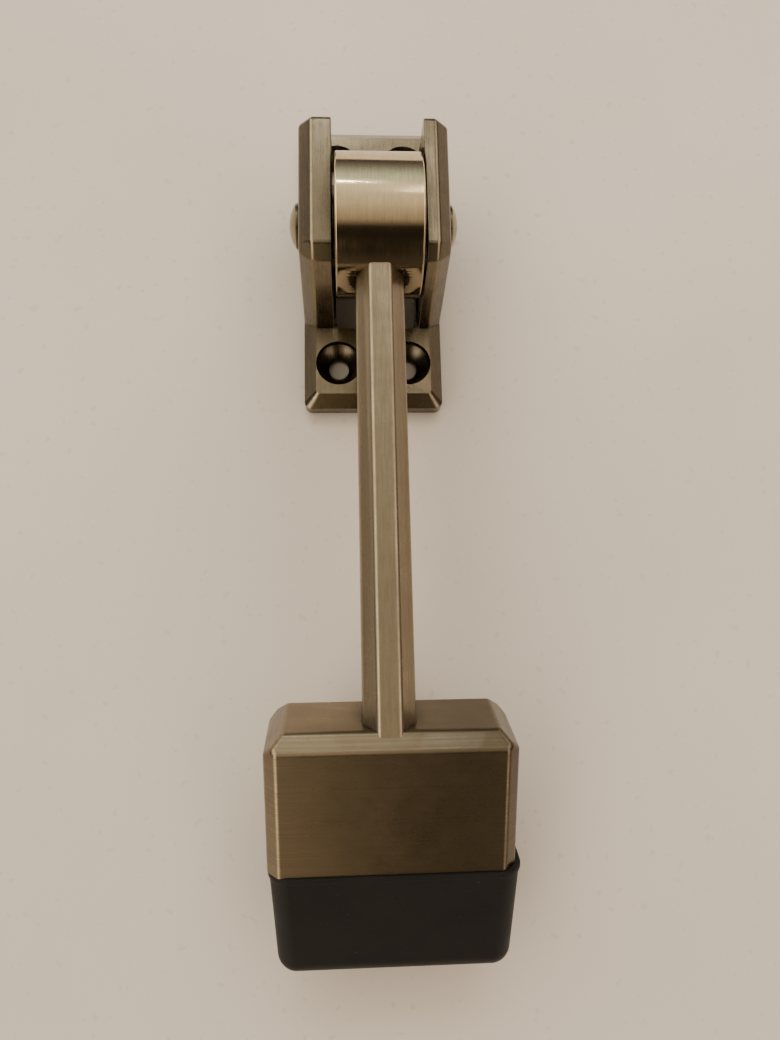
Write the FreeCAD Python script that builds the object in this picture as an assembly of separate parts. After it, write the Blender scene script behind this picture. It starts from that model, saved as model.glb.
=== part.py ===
import FreeCAD, Part
import math
import os

# Flip-down door stop: a cast bracket screws to the door, and a lever with a
# rubber foot hinges on a pin between the two ears of the bracket.
# Frame: millimetres. X runs across the bracket, Y up the door, Z out of the
# door face. The origin is the middle of the bracket's back face. The lever
# hangs down the door, along -Y, with its foot against the door face.

Vector = FreeCAD.Vector
X_AXIS = Vector(1, 0, 0)
OUT = "parts"

# bracket plate
plate_width = 30.0
plate_length = 66.0
plate_thickness = 5.6
plate_bevel = 2.6
plate_corner_radius = 1.6

# mounting screw holes
hole_spacing_x = 15.0
hole_spacing_y = 47.0
hole_radius = 2.2
sink_radius = 4.9
sink_bore_depth = 1.7
sink_cone_depth = sink_radius - hole_radius

# ears of the bracket
ear_front = 28.8
left_ear_thickness = 6.6
right_ear_thickness = 5.05
ear_bevel = 2.6
ear_soft_radius = 1.3
ear_inner_radius = 0.3
ear_foot_bottom = -15.6
ear_front_bottom = -8.1
ear_top = 19.1

# window in the plate, behind the barrel
window_end_margin = 1.4
window_side_margin = 0.4
window_corner_radius = 1.5

# hinge
axis_z = 20.0
pin_radius = 3.0
pin_fit = 0.01
pin_head_radius = 4.45
pin_head_rim = 0.7
pin_head_height = 2.1
pin_spigot_radius = 2.0
pin_spigot_length = 4.0
cap_fit = 0.02
running_clearance = 0.05
side_gap = 0.6
washer_radius = 6.2
washer_thickness = 0.35

# barrel
barrel_radius = 14.2
barrel_end_radius = 0.4
socket_fit = 0.02

# detent: two balls pushed apart by a spring, in a hole beside the pin
detent_offset = 9.3
detent_bearing = 135.0
ball_radius = 2.0
ball_clearance = 0.05
ball_rest_gap = 0.03
dimple_depth = 0.6
spring_wire_radius = 0.25
spring_coil_radius = 1.45
spring_turns = 7
engaged_angle = 23.0
stowed_angle = 180.0

# arm: an octagonal bar, slightly raised towards the foot
arm_width = 9.4
arm_edge_radius = 1.3
arm_root_z = 23.3
arm_rise = 2.5
arm_spigot_radius = 3.0
arm_spigot_reach = 7.0
arm_beyond_corner = 6.0

# foot: a bevelled housing over a rubber block, tilted to stand flat on the
# floor when the lever is swung out
foot_corner_y = -99.8
foot_corner_z = 33.7
foot_tilt = 23.0
foot_offset = 0.3
foot_half_width = 21.9
foot_depth = 17.0
housing_height = 26.0
foot_bevel_top = 2.6
foot_bevel_side = 3.4
foot_bevel_post = 2.1
foot_edge_radius = 1.4
housing_wall = 2.2
housing_recess = 12.3
screw_seat_radius = 5.2
screw_seat_depth = 4.0
foot_screw_offset = 13.0

# rubber block
rubber_reach = 21.4
rubber_offset = 0.6
rubber_plug = 12.0
plug_clearance = 0.05
lip_proud = 0.6
lip_height = 1.4
rubber_half_width = 22.2
rubber_taper = 1.1
rubber_post_radius = 3.6
rubber_sole_radius = 3.6
sole_recess_radius = 4.3
sole_recess_depth = 12.0
sole_clearance_radius = 1.9

# screws
arm_screw_radius = 2.0
arm_screw_grip = 6.0
arm_screw_washer_radius = 4.5
arm_screw_washer_thickness = 0.8
foot_screw_radius = 1.75
foot_screw_grip = 8.0
foot_screw_washer_radius = 4.0
foot_screw_washer_thickness = 0.8
screw_hole_clearance = 0.2
cross_slot_width = 1.0
cross_slot_depth = 1.3

# worked-out places
left_inner = -plate_width / 2 + left_ear_thickness
right_inner = plate_width / 2 - right_ear_thickness
centre_x = (left_inner + right_inner) / 2
barrel_left = left_inner + side_gap
barrel_right = right_inner - side_gap
foot_middle = -foot_depth / 2


def rounded(shape, radius, wanted):
    """Round the edges of shape that wanted(edge) picks."""
    edges = [edge for edge in shape.Edges if wanted(edge)]
    return shape.makeFillet(radius, edges)


def all_near(edge, value, axis, tolerance=0.01):
    """True when both ends of an edge have the given coordinate."""
    return all(abs(vertex.Point[axis] - value) < tolerance for vertex in edge.Vertexes)


def box(x0, x1, y0, y1, z0, z1):
    """A block between two opposite corners."""
    return Part.makeBox(x1 - x0, y1 - y0, z1 - z0, Vector(x0, y0, z0))


def rod(radius, start, end):
    """A round rod between two points."""
    run = end - start
    return Part.makeCylinder(radius, run.Length, start, run)


def prism(points, run):
    """A closed outline of points, drawn out along run."""
    return Part.Face(Part.makePolygon(points + points[:1])).extrude(run)


def side_prism(outline, x0, x1):
    """An outline of (Y, Z) points made solid between two X places."""
    return prism([Vector(x0, y, z) for y, z in outline], Vector(x1 - x0, 0, 0))


def save(name, shape):
    shape.exportStep(os.path.join(OUT, name + ".step"))


# ---------------------------------------------------------------- bracket

def rounded_rectangle(width, length, radius, z):
    """The outline of a rectangle with round corners, as a wire at height z."""
    half_x = width / 2
    half_y = length / 2
    sheet = box(-half_x, half_x, -half_y, half_y, z, z + 1)
    sheet = rounded(sheet, radius, lambda edge: edge.BoundBox.ZLength > 0.5)
    bottom = [face for face in sheet.Faces if face.BoundBox.ZMax < z + 0.01]
    return bottom[0].OuterWire


def bracket_plate():
    shoulder = plate_thickness - plate_bevel
    low = rounded_rectangle(plate_width, plate_length, plate_corner_radius, 0)
    middle = rounded_rectangle(plate_width, plate_length, plate_corner_radius, shoulder)
    high = rounded_rectangle(plate_width - 2 * plate_bevel, plate_length - 2 * plate_bevel,
                             plate_corner_radius / 2, plate_thickness)
    lower = Part.Face(low).extrude(Vector(0, 0, shoulder))
    return lower.fuse(Part.makeLoft([middle, high], True, True))


def bracket_ear(inner, outer):
    """One ear between its inner and outer X, bevelled round its outer side."""
    root = plate_thickness - plate_bevel - 1
    lean = (ear_front_bottom - ear_bevel - ear_foot_bottom) / (
        ear_front - ear_bevel - plate_thickness)
    outline = [
        (ear_foot_bottom - lean * (plate_thickness - root), root),
        (ear_front_bottom - ear_bevel, ear_front - ear_bevel),
        (ear_front_bottom, ear_front),
        (ear_top, ear_front),
        (ear_top, root),
    ]
    ear = side_prism(outline, inner, outer)
    bevelled = [edge for edge in ear.Edges
                if all_near(edge, outer, 0) and not all_near(edge, root, 2)
                and not all_near(edge, ear_top, 1)]
    ear = ear.makeChamfer(ear_bevel, bevelled)
    soft = lambda edge: edge.BoundBox.ZMax > root + 0.01 and not all_near(edge, inner, 0)
    ear = rounded(ear, ear_soft_radius, soft)
    crisp = lambda edge: edge.BoundBox.ZMax > root + 0.01 and all_near(edge, inner, 0)
    return rounded(ear, ear_inner_radius, crisp)


def screw_hole(x, y):
    """The cutter for one countersunk mounting hole."""
    shank = rod(hole_radius, Vector(x, y, -1), Vector(x, y, plate_thickness))
    cone_top = plate_thickness - sink_bore_depth
    cone = Part.makeCone(hole_radius, sink_radius, sink_cone_depth,
                         Vector(x, y, cone_top - sink_cone_depth))
    bore = rod(sink_radius, Vector(x, y, cone_top), Vector(x, y, plate_thickness + 1))
    return shank.fuse([cone, bore])


def window():
    """The cutter for the opening that lets the barrel sink into the plate."""
    reach = barrel_radius + window_end_margin
    opening = box(left_inner + window_side_margin, right_inner - window_side_margin,
                  -reach, reach, -1, plate_thickness + 1)
    upright = lambda edge: edge.BoundBox.ZLength > plate_thickness
    return rounded(opening, window_corner_radius, upright)


def detent_point(x, angle):
    """Where the detent hole's middle line stands at X and a lever angle."""
    turn = math.radians(detent_bearing + angle)
    return Vector(x, detent_offset * math.cos(turn), axis_z - detent_offset * math.sin(turn))


def dimple(inner, side, angle):
    """A ball-shaped pocket in an ear, where the ball stands at a lever angle."""
    return Part.makeSphere(ball_radius,
                           detent_point(inner + side * (ball_radius - dimple_depth), angle))


def base_bracket():
    half_x = plate_width / 2
    bracket = bracket_plate().fuse([bracket_ear(left_inner, -half_x),
                                    bracket_ear(right_inner, half_x)])
    cutters = [window(), rod(pin_radius + pin_fit, Vector(-half_x - 1, 0, axis_z),
                             Vector(half_x + 1, 0, axis_z))]
    for x in (-hole_spacing_x / 2, hole_spacing_x / 2):
        for y in (-hole_spacing_y / 2, hole_spacing_y / 2):
            cutters.append(screw_hole(x, y))
    for angle in (engaged_angle, stowed_angle):
        cutters.append(dimple(left_inner, 1, angle))
        cutters.append(dimple(right_inner, -1, angle))
    return bracket.cut(cutters).removeSplitter()


# ------------------------------------------------------------ pin and washers

def dome_head(x, side):
    """A low domed head that stands on an ear at x and points to side."""
    rim_x = x + side * pin_head_rim
    rim = rod(pin_head_radius, Vector(x, 0, axis_z), Vector(rim_x, 0, axis_z))
    rise = pin_head_height - pin_head_rim
    ball = (pin_head_radius ** 2 + rise ** 2) / (2 * rise)
    centre = Vector(rim_x + side * (rise - ball), 0, axis_z)
    dome = Part.makeSphere(ball, centre).common(
        rod(pin_head_radius, Vector(rim_x, 0, axis_z),
            Vector(rim_x + side * (rise + 1), 0, axis_z)))
    return rim.fuse(dome).removeSplitter()


def hinge_pin():
    half_x = plate_width / 2
    shank = rod(pin_radius, Vector(-half_x, 0, axis_z), Vector(half_x, 0, axis_z))
    bore = rod(pin_spigot_radius, Vector(half_x - pin_spigot_length, 0, axis_z),
               Vector(half_x + 1, 0, axis_z))
    return dome_head(-half_x, -1).fuse(shank).removeSplitter().cut(bore)


def pin_cap():
    half_x = plate_width / 2
    spigot = rod(pin_spigot_radius - cap_fit,
                 Vector(half_x - pin_spigot_length + 0.3, 0, axis_z),
                 Vector(half_x, 0, axis_z))
    return dome_head(half_x, 1).fuse(spigot).removeSplitter()


def thrust_washer(x0, x1):
    """A plain washer on the pin between an ear and the barrel."""
    disc = rod(washer_radius, Vector(x0, 0, axis_z), Vector(x1, 0, axis_z))
    return disc.cut(rod(pin_radius + running_clearance, Vector(x0 - 1, 0, axis_z),
                        Vector(x1 + 1, 0, axis_z)))


# ------------------------------------------------------------------- lever

def arm_direction():
    rise = math.radians(arm_rise)
    return Vector(0, -math.cos(rise), math.sin(rise))


def arm_start():
    """The point where the arm's middle line leaves the barrel."""
    height = arm_root_z - axis_z
    return Vector(centre_x, -math.sqrt(barrel_radius ** 2 - height ** 2), arm_root_z)


def arm_prism(back, ahead):
    """The octagonal bar from back behind its start to ahead of it."""
    along = arm_direction()
    across = X_AXIS
    outward = across.cross(along)
    corner = arm_width / 2 / math.cos(math.pi / 8)
    origin = arm_start() - along * back
    points = []
    for step in range(8):
        turn = math.pi / 8 + step * math.pi / 4
        points.append(origin + across * (corner * math.cos(turn))
                      + outward * (corner * math.sin(turn)))
    bar = prism(points, along * (back + ahead))
    lengthwise = lambda edge: edge.Length > back + ahead - 0.01
    return rounded(bar, arm_edge_radius, lengthwise)


def arm_spigot(radius, reach):
    """The round spigot of the arm, inside the barrel."""
    along = arm_direction()
    return rod(radius, arm_start() - along * reach, arm_start() + along * 3)


def foot_frame():
    """Foot frame: X across, Y up out of the roof, Z out of the front face."""
    turn = FreeCAD.Rotation(X_AXIS, foot_tilt)
    corner = Vector(centre_x + foot_offset, foot_corner_y, foot_corner_z)
    return FreeCAD.Placement(corner, turn)


def in_foot(shape):
    """Move a shape from the foot's own frame to its place on the lever."""
    return shape.transformShape(foot_frame().toMatrix(), True)


def barrel_cylinder(radius, x0, x1):
    return rod(radius, Vector(x0, 0, axis_z), Vector(x1, 0, axis_z))


def hinge_barrel():
    barrel = barrel_cylinder(barrel_radius, barrel_left, barrel_right)
    barrel = rounded(barrel, barrel_end_radius, lambda edge: edge.Length > barrel_radius * 6)
    pin_bore = barrel_cylinder(pin_radius + running_clearance, barrel_left - 1, barrel_right + 1)
    ball_bore = rod(ball_radius + ball_clearance,
                    detent_point(barrel_left - 1, 0), detent_point(barrel_right + 1, 0))
    socket = arm_spigot(arm_spigot_radius + socket_fit, arm_spigot_reach + 0.3)
    return barrel.cut([pin_bore, ball_bore, socket])


def ball_centres():
    reach = ball_radius + ball_rest_gap
    return detent_point(left_inner + reach, 0), detent_point(right_inner - reach, 0)


def detent_spring():
    left, right = ball_centres()
    start = left.x + ball_radius + spring_wire_radius + ball_rest_gap
    end = right.x - ball_radius - spring_wire_radius - ball_rest_gap
    length = end - start
    helix = Part.makeHelix(length / spring_turns, length, spring_coil_radius)
    section = Part.Wire(Part.makeCircle(spring_wire_radius, Vector(spring_coil_radius, 0, 0),
                                        Vector(0, 1, 0)))
    spring = Part.Wire(helix).makePipeShell([section], True, True)
    to_x = FreeCAD.Rotation(Vector(0, 1, 0), 90)
    place = FreeCAD.Placement(detent_point(start, 0), to_x)
    return spring.transformShape(place.toMatrix(), True)


def arm_bar():
    along = arm_direction()
    length = (Vector(centre_x, foot_corner_y, foot_corner_z) - arm_start()).dot(along)
    bar = arm_prism(4, length + arm_beyond_corner)
    bar = bar.cut([barrel_cylinder(barrel_radius, barrel_left - 5, barrel_right + 5),
                   in_foot(foot_block()), in_foot(below_front())])
    spigot = arm_spigot(arm_spigot_radius, arm_spigot_reach)
    screw_bore = in_foot(rod(arm_screw_radius, Vector(0, -1, foot_middle),
                             Vector(0, arm_screw_grip + 0.3, foot_middle)))
    return bar.fuse(spigot).removeSplitter().cut(screw_bore)


# -------------------------------------------------------------------- foot

def foot_block():
    """The bevelled outside of the housing, in the foot's own frame."""
    half = foot_half_width
    top = foot_bevel_top
    side = foot_bevel_side
    post = foot_bevel_post
    front_view = [(-half, -housing_height), (half, -housing_height), (half, -side),
                  (half - side, 0), (side - half, 0), (-half, -side)]
    side_view = [(-housing_height, 0), (-top, 0), (0, -top), (0, top - foot_depth),
                 (-top, -foot_depth), (-housing_height, -foot_depth)]
    plan = [(post - half, 0), (half - post, 0), (half, -post), (half, post - foot_depth),
            (half - post, -foot_depth), (post - half, -foot_depth),
            (-half, post - foot_depth), (-half, -post)]
    front = prism([Vector(x, y, -foot_depth) for x, y in front_view], Vector(0, 0, foot_depth))
    across = prism([Vector(-half, y, z) for y, z in side_view], Vector(2 * half, 0, 0))
    upright = prism([Vector(x, -housing_height, z) for x, z in plan],
                    Vector(0, housing_height, 0))
    return front.common(across).common(upright)


def below_front():
    """Space in front of the housing's front face, in the foot's frame."""
    return box(-foot_half_width, foot_half_width, -60, -foot_bevel_top, -foot_depth, 40)


def foot_housing():
    above_rim = lambda edge: edge.BoundBox.YMax > 0.01 - housing_height
    block = rounded(foot_block(), foot_edge_radius, above_rim)
    inner = foot_half_width - housing_wall
    roof = housing_recess - housing_height
    recess = box(-inner, inner, -housing_height - 1, roof, housing_wall - foot_depth, -housing_wall)
    recess = rounded(recess, 1.0, lambda edge: edge.BoundBox.YLength > housing_recess)
    cutters = [recess,
               rod(screw_seat_radius, Vector(0, roof - 1, foot_middle),
                   Vector(0, -screw_seat_depth, foot_middle)),
               rod(arm_screw_radius + screw_hole_clearance,
                   Vector(0, -screw_seat_depth - 1, foot_middle), Vector(0, 1, foot_middle))]
    for side in (-1, 1):
        x = side * foot_screw_offset
        cutters.append(rod(foot_screw_radius, Vector(x, roof - 1, foot_middle),
                           Vector(x, roof + foot_screw_grip, foot_middle)))
    return in_foot(block.cut(cutters).removeSplitter())


def rubber_block():
    """The tapered block of rubber below the housing."""
    top = -housing_height
    depth = foot_depth / 2 + rubber_half_width - foot_half_width
    wires = []
    for y, half_x, half_z in ((top, rubber_half_width, depth),
                              (top - rubber_reach, rubber_half_width - rubber_taper,
                               depth - rubber_taper)):
        low = foot_middle - half_z
        high = foot_middle + half_z
        corners = [Vector(-half_x, y, low), Vector(half_x, y, low),
                   Vector(half_x, y, high), Vector(-half_x, y, high)]
        wires.append(Part.makePolygon(corners + corners[:1]))
    block = Part.makeLoft(wires, True, True)
    upright = lambda edge: edge.BoundBox.YLength > rubber_reach / 2
    block = rounded(block, rubber_post_radius, upright)
    return rounded(block, rubber_sole_radius,
                   lambda edge: all_near(edge, top - rubber_reach, 1))


def rubber_lip():
    """The thin rim of rubber that shows below the housing's edge."""
    top = -housing_height
    reach = foot_half_width + lip_proud
    depth = rubber_half_width - foot_half_width
    lip = box(-reach, reach, top - lip_height, top, -foot_depth - depth, depth)
    lip = rounded(lip, rubber_post_radius + 0.5,
                  lambda edge: edge.BoundBox.YLength > lip_height / 2)
    return rounded(lip, lip_height / 3, lambda edge: edge.BoundBox.YLength < 0.01)


def rubber_foot():
    top = -housing_height
    sole = top - rubber_reach
    inset = housing_wall + plug_clearance
    plug = box(inset - foot_half_width, foot_half_width - inset, top - 0.5, top + rubber_plug,
               inset - foot_depth, -inset)
    plug = rounded(plug, 1.0, lambda edge: edge.BoundBox.YLength > rubber_plug / 2)
    cutters = []
    for side in (-1, 1):
        x = side * foot_screw_offset
        cutters.append(rod(sole_recess_radius, Vector(x, sole - 1, foot_middle),
                           Vector(x, sole + sole_recess_depth, foot_middle)))
        cutters.append(rod(sole_clearance_radius, Vector(x, sole, foot_middle),
                           Vector(x, top + rubber_plug + 1, foot_middle)))
    outside = rubber_block().fuse(rubber_lip())
    outside.translate(Vector(rubber_offset, 0, 0))
    return in_foot(outside.fuse(plug).cut(cutters).removeSplitter())


def cross_slot(centre, depth, length):
    """Cutter for a cross recess in a screw head that faces -Y."""
    x, y, z = centre
    half = cross_slot_width / 2
    one = box(x - length / 2, x + length / 2, y - 1, y + depth, z - half, z + half)
    two = box(x - half, x + half, y - 1, y + depth, z - length / 2, z + length / 2)
    return one.fuse(two)


def pan_screw(x, seat, z, radius, tip):
    """A pan-head cross-recess screw whose head hangs below seat, in the foot's frame."""
    head_radius = radius * 1.9
    head_height = radius * 1.25
    head = rod(head_radius, Vector(x, seat - head_height, z), Vector(x, seat, z))
    head = rounded(head, head_height * 0.6, lambda edge: all_near(edge, seat - head_height, 1))
    shank = rod(radius, Vector(x, seat, z), Vector(x, tip, z))
    shank = shank.makeChamfer(radius * 0.4, [edge for edge in shank.Edges if all_near(edge, tip, 1)])
    slot = cross_slot((x, seat - head_height, z), cross_slot_depth, head_radius * 1.2)
    return in_foot(head.fuse(shank).removeSplitter().cut(slot))


def flat_washer(x, seat, z, radius, bore, thickness):
    """A plain washer whose upper face is at seat, in the foot's frame."""
    disc = rod(radius, Vector(x, seat - thickness, z), Vector(x, seat, z))
    hole = rod(bore, Vector(x, seat - thickness - 1, z), Vector(x, seat + 1, z))
    return in_foot(disc.cut(hole))


def save_arm_screw():
    seat = -screw_seat_depth
    save("arm_screw_washer",
         flat_washer(0, seat, foot_middle, arm_screw_washer_radius,
                     arm_screw_radius + screw_hole_clearance, arm_screw_washer_thickness))
    save("arm_screw",
         pan_screw(0, seat - arm_screw_washer_thickness, foot_middle,
                   arm_screw_radius - cap_fit, arm_screw_grip))


def save_foot_screws():
    seat = sole_recess_depth - housing_height - rubber_reach
    tip = housing_recess + foot_screw_grip - 0.5 - housing_height
    for name, side in (("left", -1), ("right", 1)):
        x = side * foot_screw_offset
        save("foot_screw_washer_" + name,
             flat_washer(x, seat, foot_middle, foot_screw_washer_radius,
                         foot_screw_radius + screw_hole_clearance / 2,
                         foot_screw_washer_thickness))
        save("foot_screw_" + name,
             pan_screw(x, seat - foot_screw_washer_thickness, foot_middle,
                       foot_screw_radius - cap_fit, tip))


def build():
    os.makedirs("parts", exist_ok=True)
    save("base_bracket", base_bracket())
    save("hinge_pin", hinge_pin())
    save("pin_cap", pin_cap())
    save("washer_left", thrust_washer(left_inner, left_inner + washer_thickness))
    save("washer_right", thrust_washer(right_inner - washer_thickness, right_inner))
    save("hinge_barrel", hinge_barrel())
    save("detent_spring", detent_spring())
    for name, centre in zip(("left", "right"), ball_centres()):
        save("detent_ball_" + name, Part.makeSphere(ball_radius, centre))
    save("arm_bar", arm_bar())
    save("foot_housing", foot_housing())
    save("rubber_foot", rubber_foot())
    save_arm_screw()
    save_foot_screws()


build()
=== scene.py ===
import math

import bpy
from mathutils import Matrix, Quaternion, Vector

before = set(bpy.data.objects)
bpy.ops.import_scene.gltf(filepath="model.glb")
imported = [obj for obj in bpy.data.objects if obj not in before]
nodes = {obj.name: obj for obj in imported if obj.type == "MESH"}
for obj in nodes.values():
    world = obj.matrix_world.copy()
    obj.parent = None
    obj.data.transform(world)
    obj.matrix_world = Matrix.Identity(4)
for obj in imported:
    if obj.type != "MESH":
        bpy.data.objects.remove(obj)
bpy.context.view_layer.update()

# How far the foot housing is tilted about the X axis.
HOUSING_TILT = math.radians(23.0)

# CAMERA_TURN takes directions from the object's axes into the camera's. It is
# an axis times its angle in radians.
CAMERA_PLACE = (-0.006192, -0.086714, 0.170498)
CAMERA_TURN = (-0.172, 0.053, 0.016)
CAMERA_LENS = 27.69
CAMERA_SENSOR = 36.0

FLOOR_HALF_SIZE = 1.6
FLOOR_HEIGHT = -0.0001

# Roundings that are added to edges, and the gap that counts as one point.
CAST_EDGE = 0.0005
FINE_EDGE = 0.0002
WASHER_EDGE = 0.00008
EDGE_SEGMENTS = 3
EDGE_ANGLE = math.radians(28)
WELD_GAP = 0.000005

# The room's colour by the angle in degrees from straight up (+Z) towards the
# top of the door (+Y): floor level, the wall behind the foot, a pale ceiling,
# a greenish window and the wall above the bracket.
ROOM_BANDS = (
    (-180, (0.05, 0.045, 0.04)), (-92, (0.13, 0.10, 0.08)), (-80, (0.09, 0.07, 0.05)),
    (-66, (0.040, 0.032, 0.023)), (-28, (0.036, 0.028, 0.020)),
    (-17, (0.54, 0.44, 0.32)), (0, (0.62, 0.52, 0.39)), (34, (0.90, 0.81, 0.655)),
    (43, (0.74, 0.73, 0.61)), (54, (0.62, 0.72, 0.60)), (63, (0.42, 0.45, 0.40)),
    (72, (0.22, 0.225, 0.21)), (86, (0.06, 0.055, 0.05)), (180, (0.04, 0.038, 0.035)))
ROOM_STRENGTH = 1.25


# ------------------------------------------------------------- node helpers

class Graph:
    """A material's node tree, with short calls for the nodes used here."""

    def __init__(self, tree):
        self.tree = tree

    def add(self, kind, **settings):
        node = self.tree.nodes.new(kind)
        for key, value in settings.items():
            setattr(node, key, value)
        return node

    def link(self, source, target):
        self.tree.links.new(source, target)

    def coords(self, scale, turn=(0, 0, 0)):
        """Object coordinates, turned and then scaled, in features per metre."""
        vector = self.add("ShaderNodeTexCoord").outputs["Object"]
        if any(turn):
            turning = self.add("ShaderNodeMapping")
            turning.inputs["Rotation"].default_value = turn
            self.link(vector, turning.inputs["Vector"])
            vector = turning.outputs["Vector"]
        scaling = self.add("ShaderNodeMapping")
        scaling.inputs["Scale"].default_value = scale
        self.link(vector, scaling.inputs["Vector"])
        return scaling.outputs["Vector"]

    def noise(self, vector, scale=1.0, detail=4.0, rough=0.5, distort=0.0):
        node = self.add("ShaderNodeTexNoise")
        node.inputs["Scale"].default_value = scale
        node.inputs["Detail"].default_value = detail
        node.inputs["Roughness"].default_value = rough
        node.inputs["Distortion"].default_value = distort
        self.link(vector, node.inputs["Vector"])
        return node.outputs["Fac"]

    def spread(self, value, low, high, out_low=0.0, out_high=1.0):
        node = self.add("ShaderNodeMapRange")
        node.inputs["From Min"].default_value = low
        node.inputs["From Max"].default_value = high
        node.inputs["To Min"].default_value = out_low
        node.inputs["To Max"].default_value = out_high
        self.link(value, node.inputs["Value"])
        return node.outputs["Result"]

    def separate(self, vector):
        node = self.add("ShaderNodeSeparateXYZ")
        self.link(vector, node.inputs["Vector"])
        return node.outputs

    def math(self, operation, first, second=0.0):
        node = self.add("ShaderNodeMath", operation=operation)
        for socket, value in zip(node.inputs, (first, second)):
            if isinstance(value, (int, float)):
                socket.default_value = value
            else:
                self.link(value, socket)
        return node.outputs[0]

    def blend(self, first, share, second):
        """share of the first value and the rest of the second."""
        return self.math("ADD", self.math("MULTIPLY", first, share),
                         self.math("MULTIPLY", second, 1.0 - share))

    def openness(self, distance):
        """How much of the surroundings within distance is open, 0 to 1."""
        node = self.add("ShaderNodeAmbientOcclusion", samples=6)
        node.inputs["Distance"].default_value = distance
        return node.outputs["AO"]

    def mix(self, factor, first, second):
        node = self.add("ShaderNodeMix", data_type="RGBA")
        for socket, value in ((node.inputs["Factor"], factor), (node.inputs[6], first),
                              (node.inputs[7], second)):
            if isinstance(value, (int, float)):
                socket.default_value = value
            elif isinstance(value, tuple):
                socket.default_value = (*value, 1.0)
            else:
                self.link(value, socket)
        return node.outputs[2]

    def bump(self, height, strength, distance, normal=None):
        node = self.add("ShaderNodeBump")
        node.inputs["Strength"].default_value = strength
        node.inputs["Distance"].default_value = distance
        self.link(height, node.inputs["Height"])
        if normal is not None:
            self.link(normal, node.inputs["Normal"])
        return node.outputs["Normal"]


def new_material(name):
    material = bpy.data.materials.new(name)
    material.use_nodes = True
    graph = Graph(material.node_tree)
    shader = material.node_tree.nodes["Principled BSDF"]
    return material, graph, shader


def scaled(values, factor):
    return tuple(factor * value for value in values)


def antique_brass(name, light, dark, brush, turn=(0, 0, 0), polish=0.30, streak=0.5, patina=0.5,
                  lacquer=0.25, recess=0.006, painted_shade_run=None, sides=0.0):
    """Lacquered brushed brass, with patina and painted shade in its low spots.

    brush is the number of brush marks per metre along each axis, after turn:
    the axis with the small number is the way the brush ran. polish is the
    roughness, streak the strength of the brush marks, patina the share of the
    dark tone, lacquer the weight of the clear coat, and recess the depth of
    the hollows that are darkened, with patina and painted shade. thick gives
    painted shade that grows towards one side: an axis, where it starts and
    ends, and how far it goes. sides is how much painted shade darkens the
    faces turned to either side.
    """
    material, graph, shader = new_material(name)
    marks = graph.noise(graph.coords(brush, turn), detail=3.0, rough=0.6)
    fine_marks = graph.noise(graph.coords(scaled(brush, 3.1), turn), detail=2.0)
    cloud = graph.noise(graph.coords((60, 60, 60)), detail=5.0, rough=0.6)
    blotch = graph.noise(graph.coords((240, 240, 240)), detail=4.0, rough=0.65)
    pits = graph.noise(graph.coords((1500, 1500, 1500)), detail=2.0)
    lines = graph.blend(marks, 0.6, fine_marks)
    tone = graph.spread(graph.blend(cloud, 0.55, blotch), 0.36, 0.66)

    # the brushed and pitted surface, lighter along its edges: worn there, and a painted highlight
    # too
    tint = graph.mix(graph.math("MULTIPLY", tone, patina), light, dark)
    streaks = graph.spread(lines, 0.40, 0.60)
    streaked = graph.mix(graph.math("MULTIPLY", streaks, 0.42 * streak), tint, scaled(dark, 0.55))
    dark_pits = graph.spread(pits, 0.28, 0.34, 0.18, 0.0)
    pitted = graph.mix(dark_pits, streaked, scaled(dark, 0.35))
    edge = graph.spread(graph.add("ShaderNodeNewGeometry").outputs["Pointiness"], 0.53, 0.62)
    edge_wear_and_sheen_colour = tuple(min(1.0, 1.25 * part) for part in light)
    with_edge_wear_and_sheen = graph.mix(graph.math("MULTIPLY", edge, 0.5), pitted, edge_wear_and_sheen_colour)

    # patina left in the hollows, and painted shade there: darker where the surroundings close in
    painted_shade_mask = graph.spread(graph.openness(recess), 0.52, 0.80, 0.95, 0.0)
    colour = graph.mix(painted_shade_mask, with_edge_wear_and_sheen, scaled(dark, 0.22))
    # painted shade: faces turned to either side are darkened
    if sides:
        facing = graph.separate(graph.add("ShaderNodeTexCoord").outputs["Normal"])
        sideways = graph.math("ABSOLUTE", facing["X"])
        side_shade = graph.spread(sideways, 0.40, 0.68, 0.0, sides)
        colour = graph.mix(side_shade, colour, scaled(dark, 0.25))
    # painted shade: darker along one axis, from start to end
    if painted_shade_run is not None:
        axis, start, end, amount = painted_shade_run
        place = graph.separate(graph.coords((1, 1, 1)))
        shade_growth = graph.spread(place[axis], start, end, 0.0, amount)
        colour = graph.mix(shade_growth, colour, scaled(dark, 0.10))
    graph.link(colour, shader.inputs["Base Color"])

    rough = graph.math("ADD", graph.spread(lines, 0.35, 0.65, polish - 0.03, polish + 0.05),
                       graph.math("MULTIPLY", tone, 0.08))
    graph.link(rough, shader.inputs["Roughness"])
    normal = graph.bump(lines, 0.10 * streak, 0.00003)
    normal = graph.bump(pits, 0.05, 0.00003, normal)
    graph.link(normal, shader.inputs["Normal"])
    shader.inputs["Metallic"].default_value = 1.0
    shader.inputs["Coat Weight"].default_value = lacquer
    shader.inputs["Coat Roughness"].default_value = 0.025
    shader.inputs["Coat IOR"].default_value = 1.5
    return material


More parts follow.
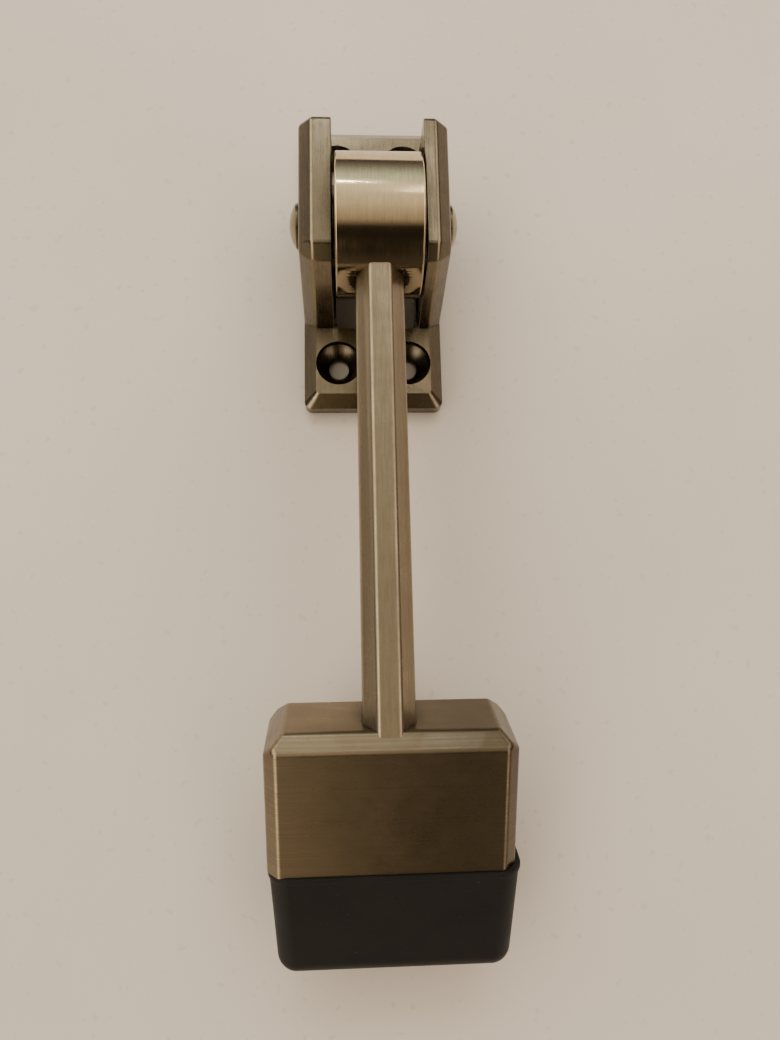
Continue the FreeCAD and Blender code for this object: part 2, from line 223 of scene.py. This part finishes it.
def black_rubber():
    """Moulded black rubber: matt, faintly grainy, with a little dust."""
    material, graph, shader = new_material("rubber_black")
    grain = graph.noise(graph.coords((2600, 2600, 2600)), detail=3.0, rough=0.6)
    cloud = graph.noise(graph.coords((90, 90, 90)), detail=5.0, rough=0.6)
    specks = graph.noise(graph.coords((1900, 1900, 1900)), detail=1.0)
    base = graph.mix(graph.spread(cloud, 0.35, 0.68), (0.0024, 0.0020, 0.0018),
                     (0.0056, 0.0046, 0.0038))
    dust = graph.spread(specks, 0.77, 0.82, 0.0, 0.4)
    graph.link(graph.mix(dust, base, (0.10, 0.085, 0.07)), shader.inputs["Base Color"])
    graph.link(graph.spread(cloud, 0.3, 0.7, 0.52, 0.72), shader.inputs["Roughness"])
    graph.link(graph.bump(grain, 0.35, 0.00008), shader.inputs["Normal"])
    shader.inputs["Specular IOR Level"].default_value = 0.18
    shader.inputs["Sheen Weight"].default_value = 0.05
    shader.inputs["Sheen Roughness"].default_value = 0.5
    return material


def zinc_steel():
    """Zinc-plated steel for the screws, their washers and the detent parts."""
    material, graph, shader = new_material("steel_zinc")
    cloud = graph.noise(graph.coords((500, 500, 500)), detail=4.0)
    turned = graph.noise(graph.coords((400, 6000, 400)), detail=2.0)
    graph.link(graph.mix(graph.spread(cloud, 0.35, 0.65), (0.62, 0.61, 0.60), (0.42, 0.42, 0.43)),
               shader.inputs["Base Color"])
    graph.link(graph.spread(turned, 0.3, 0.7, 0.22, 0.42), shader.inputs["Roughness"])
    graph.link(graph.bump(turned, 0.12, 0.00004), shader.inputs["Normal"])
    shader.inputs["Metallic"].default_value = 1.0
    return material


def counter_top():
    """Pale warm counter under the object, with painted shadow under and close by it."""
    material, graph, shader = new_material("floor_pale")
    cloud = graph.noise(graph.coords((9, 9, 9)), detail=4.0)
    specks = graph.noise(graph.coords((420, 420, 420)), detail=1.0)
    base = graph.mix(graph.spread(cloud, 0.35, 0.65), (0.56, 0.50, 0.435), (0.52, 0.462, 0.395))
    fleck = graph.spread(specks, 0.67, 0.73, 0.0, 0.45)
    flecked = graph.mix(fleck, base, (0.42, 0.37, 0.31))
    # painted shadow: the counter darker where the object closes it in
    painted_shade_mask = graph.spread(graph.openness(0.03), 0.05, 0.50, 0.75, 0.0)
    graph.link(graph.mix(painted_shade_mask, flecked, (0.05, 0.04, 0.032)), shader.inputs["Base Color"])
    graph.link(graph.spread(cloud, 0.3, 0.7, 0.42, 0.52), shader.inputs["Roughness"])
    graph.link(graph.bump(specks, 0.05, 0.0001), shader.inputs["Normal"])
    return material


# ------------------------------------------------------------------ finishes

def dress(name, material, edge=0.0):
    """Give a frame node its finish, and round its sharp edges by edge metres."""
    piece = nodes[name]
    piece.data.materials.clear()
    piece.data.materials.append(material)
    weld = piece.modifiers.new("weld", "WELD")
    weld.merge_threshold = WELD_GAP
    if edge:
        bevel = piece.modifiers.new("edge", "BEVEL")
        bevel.width = edge
        bevel.segments = EDGE_SEGMENTS
        bevel.limit_method = "ANGLE"
        bevel.angle_limit = EDGE_ANGLE
        bevel.harden_normals = False
        bevel.use_clamp_overlap = True
    normals = piece.modifiers.new("normals", "WEIGHTED_NORMAL")
    normals.keep_sharp = False
    normals.weight = 60


def finish_pieces():
    # painted shade darkens the bracket's faces turned to either side (sides)
    bracket = antique_brass("brass_bracket", (0.240, 0.200, 0.132), (0.122, 0.095, 0.061),
                            (2600, 130, 130), polish=0.20, streak=0.7, recess=0.008, sides=0.5)
    # painted shade: the barrel darker on its side towards -Y (thick)
    barrel = antique_brass("brass_barrel", (0.80, 0.64, 0.40), (0.50, 0.38, 0.23),
                           (3600, 160, 160), polish=0.08, streak=0.5, lacquer=0.5, recess=0.008,
                           painted_shade_run=("Y", -0.003, -0.008, 0.62))
    heads = antique_brass("brass_heads", (0.30, 0.25, 0.165), (0.15, 0.115, 0.07),
                          (900, 900, 900), polish=0.24, streak=0.3)
    arm = antique_brass("brass_arm", (0.292, 0.244, 0.166), (0.182, 0.142, 0.092),
                        (2600, 60, 2600), polish=0.25, streak=0.8)
    # painted shade: the housing darker towards its right (thick) and on its side faces (sides)
    housing = antique_brass("brass_housing", (0.27, 0.214, 0.140), (0.148, 0.109, 0.065),
                            (20, 3000, 90), turn=(-HOUSING_TILT, 0, 0), polish=0.27, streak=0.7,
                            patina=0.3, painted_shade_run=("X", -0.012, 0.016, 0.5), sides=0.35)
    washers = antique_brass("brass_washers", (0.45, 0.37, 0.25), (0.30, 0.24, 0.15),
                            (1200, 300, 1200), polish=0.3)
    steel = zinc_steel()
    dress("base_bracket", bracket, CAST_EDGE)
    dress("hinge_pin", heads, FINE_EDGE)
    dress("pin_cap", heads, FINE_EDGE)
    dress("hinge_barrel", barrel)
    dress("arm_bar", arm)
    dress("foot_housing", housing, FINE_EDGE)
    dress("rubber_foot", black_rubber())
    dress("washer_left", washers, WASHER_EDGE)
    dress("washer_right", washers, WASHER_EDGE)
    for name in sorted(nodes):
        if "screw" in name or "detent" in name:
            dress(name, steel)


# ------------------------------------------------------------- floor, camera

def make_floor():
    corners = [(x * FLOOR_HALF_SIZE, y * FLOOR_HALF_SIZE, 0)
               for x, y in ((-1, -1), (1, -1), (1, 1), (-1, 1))]
    mesh = bpy.data.meshes.new("floor")
    mesh.from_pydata(corners, [], [(0, 1, 2, 3)])
    mesh.materials.append(counter_top())
    floor = bpy.data.objects.new("floor", mesh)
    floor.location = (0, 0, FLOOR_HEIGHT)
    bpy.context.scene.collection.objects.link(floor)


def make_camera():
    data = bpy.data.cameras.new("camera")
    data.sensor_width = CAMERA_SENSOR
    data.lens = CAMERA_LENS
    data.clip_start = 0.005
    data.clip_end = 20.0
    camera = bpy.data.objects.new("camera", data)
    turn = Vector(CAMERA_TURN)
    rotation = Quaternion(turn.normalized(), turn.length).to_matrix().transposed()
    camera.matrix_world = Matrix.Translation(CAMERA_PLACE) @ rotation.to_4x4()
    bpy.context.scene.collection.objects.link(camera)
    bpy.context.scene.camera = camera


# ----------------------------------------------------------- room and lights

def make_light(name, place, target, size, power, colour, seen=True):
    """A rectangular lamp at place, turned to target. seen: it is reflected."""
    data = bpy.data.lights.new(name, "AREA")
    data.shape = "RECTANGLE"
    data.size, data.size_y = size
    data.energy = power
    data.color = colour
    light = bpy.data.objects.new(name, data)
    light.location = place
    light.visible_glossy = seen
    aim = Vector(target) - Vector(place)
    light.rotation_euler = aim.to_track_quat("-Z", "Y").to_euler()
    bpy.context.scene.collection.objects.link(light)


def make_room():
    """The room that the brass reflects.

    Its colour goes by the angle round the X axis, in bands, and changes
    towards either side: a window on the left and a weaker one on the right,
    then plain side walls. Behind the foot, the wall is lighter at both sides
    than in the middle. Towards the top of the door there is a dark patch,
    right of the middle. The angle is in radians here, and in degrees in
    ROOM_BANDS.
    """
    world = bpy.data.worlds.new("room")
    bpy.context.scene.world = world
    world.use_nodes = True
    graph = Graph(world.node_tree)
    background = world.node_tree.nodes["Background"]
    direction = graph.separate(graph.add("ShaderNodeTexCoord").outputs["Generated"])
    across, height = direction["X"], direction["Z"]
    angle = graph.math("ARCTAN2", direction["Y"], height)

    ramp = graph.add("ShaderNodeValToRGB")
    elements = ramp.color_ramp.elements
    while len(elements) < len(ROOM_BANDS):
        elements.new(0.5)
    for element, (degrees, colour) in zip(elements, ROOM_BANDS):
        element.position = (degrees + 180) / 360
        element.color = (*colour, 1)
    graph.link(graph.spread(angle, -math.pi, math.pi), ramp.inputs["Fac"])

    behind_foot = graph.spread(angle, -0.75, -0.95)
    foot_left = graph.math("MULTIPLY", behind_foot, graph.spread(across, -0.02, -0.12))
    foot_right = graph.math("MULTIPLY", behind_foot, graph.spread(across, 0.10, 0.16))
    dark_patch = graph.math("MULTIPLY", graph.spread(angle, 0.60, 0.66),
                            graph.spread(across, 0.14, 0.165, 0.0, 0.9))
    sideways = graph.math("ABSOLUTE", across)
    inner_side = graph.spread(sideways, 0.30, 0.52)
    outer_side = graph.spread(sideways, 0.70, 0.86, 1.0, 0.0)
    above = graph.spread(height, 0.15, 0.40)
    window = graph.math("MULTIPLY", graph.math("MULTIPLY", inner_side, outer_side), above)
    window_tone = graph.mix(graph.spread(across, -0.1, 0.1), (2.9, 2.6, 2.1), (1.9, 1.6, 1.3))
    left_wall = graph.spread(across, -0.84, -0.97)
    right_wall = graph.spread(across, 0.70, 0.95)

    colour = graph.mix(foot_left, ramp.outputs["Color"], (0.66, 0.53, 0.36))
    colour = graph.mix(foot_right, colour, (0.26, 0.20, 0.13))
    colour = graph.mix(dark_patch, colour, (0.02, 0.025, 0.016))
    colour = graph.mix(window, colour, window_tone)
    colour = graph.mix(left_wall, colour, (0.12, 0.115, 0.12))
    colour = graph.mix(right_wall, colour, (0.17, 0.11, 0.11))
    graph.link(colour, background.inputs["Color"])
    background.inputs["Strength"].default_value = ROOM_STRENGTH


def make_lights():
    """A broad ceiling lamp, two small ones that glint on the barrel, and a side lamp."""
    warm = (1.0, 0.95, 0.875)
    warmer = (1.0, 0.93, 0.82)
    white = (1, 1, 1)
    barrel_front = (0, 0, 0.034)
    right_ear = (0.0145, 0, 0.029)
    make_light("ceiling", (0.02, 0.58, 0.52), (0, -0.02, 0), (0.80, 0.45), 5.4, warm, seen=False)
    make_light("glint_a", (-0.155, 0.60, 0.72), barrel_front, (0.028, 0.004), 0.10, white)
    make_light("glint_b", (-0.03, 0.60, 0.72), barrel_front, (0.075, 0.004), 0.20, white)
    make_light("side", (0.126, 0.469, 0.79), right_ear, (0.08, 0.20), 0.14, warmer)


finish_pieces()
make_floor()
make_camera()
make_room()
make_lights()
